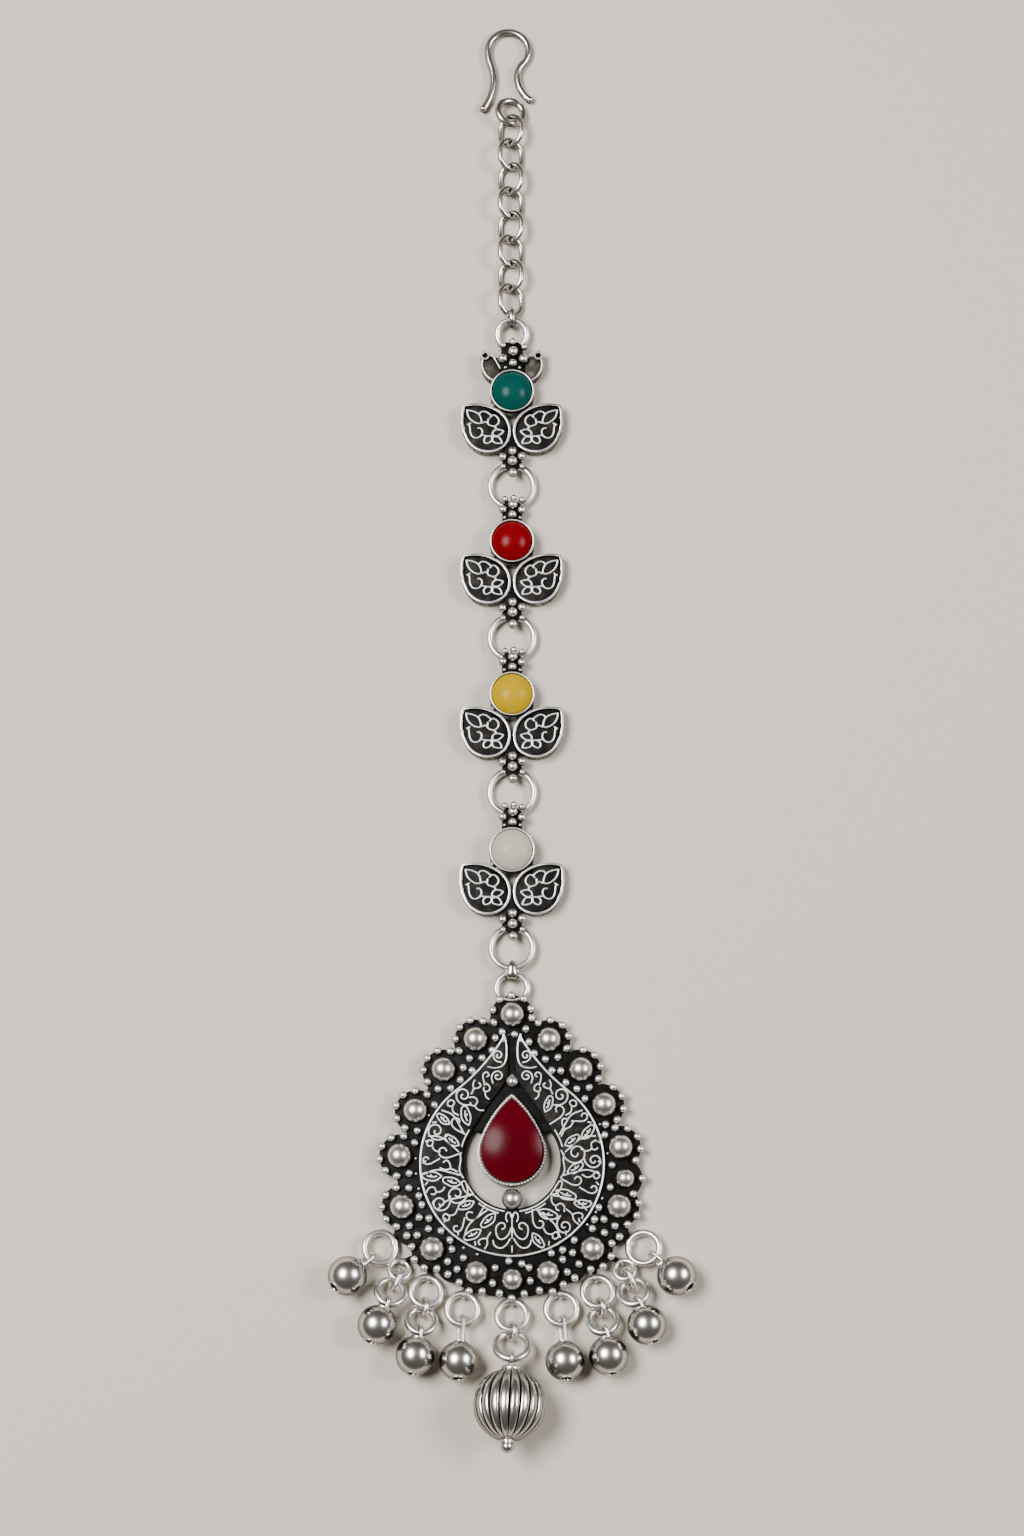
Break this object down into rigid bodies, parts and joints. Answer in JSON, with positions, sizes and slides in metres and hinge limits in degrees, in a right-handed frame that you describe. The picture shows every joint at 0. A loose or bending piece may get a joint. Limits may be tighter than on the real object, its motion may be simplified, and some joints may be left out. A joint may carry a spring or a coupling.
{
  "type": "maang tikka",
  "caption": "Hair-parting jewel in silver-coloured metal: hook, chain, jointed plates with round stones, and a teardrop pendant with a pear stone and hanging balls.",
  "frame": {"origin": "under the middle of the jewel's bounding box, on the surface that it lies on", "axes": "+Y along the strand from the pendant to the hook, +X to the viewer's right seen from the face, +Z out of the jewel's face"},
  "size_m": [0.0444, 0.1828, 0.0087],
  "materials": {
    "oxidised_silver": "silver-coloured metal, polished on its high places and blackened in its hollows",
    "bead_silver": "polished silver-coloured metal, slightly worn",
    "wire_silver": "round silver-coloured wire, polished, slightly dulled",
    "green_stone": "polished deep green glass stone",
    "red_stone": "polished red glass stone",
    "yellow_stone": "polished yellow glass stone",
    "white_stone": "polished milky white glass stone",
    "wine_stone": "polished deep wine-red glass stone"
  },
  "bodies": {
    "root": {"bail_link": "wire_silver", "centre_link": "wire_silver", "centre_lower_ring": "wire_silver", "centre_ring": "wire_silver", "chain_link_1": "wire_silver", "chain_link_2": "wire_silver", "chain_link_3": "wire_silver", "chain_link_4": "wire_silver", "chain_link_5": "wire_silver", "chain_link_6": "wire_silver", "chain_link_7": "wire_silver", "chain_link_8": "wire_silver", "connector_link": "wire_silver", "crown_plate": "oxidised_silver", "crown_ring": "wire_silver", "end_ring": "wire_silver", "fluted_bead": "bead_silver", "green_stone": "green_stone", "hook": "wire_silver", "leaf_plate_2": "oxidised_silver", "leaf_plate_3": "oxidised_silver", "leaf_plate_4": "oxidised_silver", "left_fourth_ball": "bead_silver", "left_fourth_ring": "wire_silver", "left_outer_ball": "bead_silver", "left_outer_ring": "wire_silver", "left_second_ball": "bead_silver", "left_second_link": "wire_silver", "left_second_ring": "wire_silver", "left_second_small_ring": "wire_silver", "left_third_ball": "bead_silver", "left_third_link": "wire_silver", "left_third_lower_ring": "wire_silver", "left_third_ring": "wire_silver", "link_ring_1": "wire_silver", "link_ring_2": "wire_silver", "link_ring_3": "wire_silver", "link_ring_4": "wire_silver", "pear_stone": "wine_stone", "pendant_frame": "oxidised_silver", "red_stone": "red_stone", "right_fourth_ball": "bead_silver", "right_fourth_ring": "wire_silver", "right_outer_ball": "bead_silver", "right_outer_ring": "wire_silver", "right_second_ball": "bead_silver", "right_second_link": "wire_silver", "right_second_ring": "wire_silver", "right_second_small_ring": "wire_silver", "right_third_ball": "bead_silver", "right_third_link": "wire_silver", "right_third_lower_ring": "wire_silver", "right_third_ring": "wire_silver", "white_stone": "white_stone", "yellow_stone": "yellow_stone"}
  },
  "joints": []
}
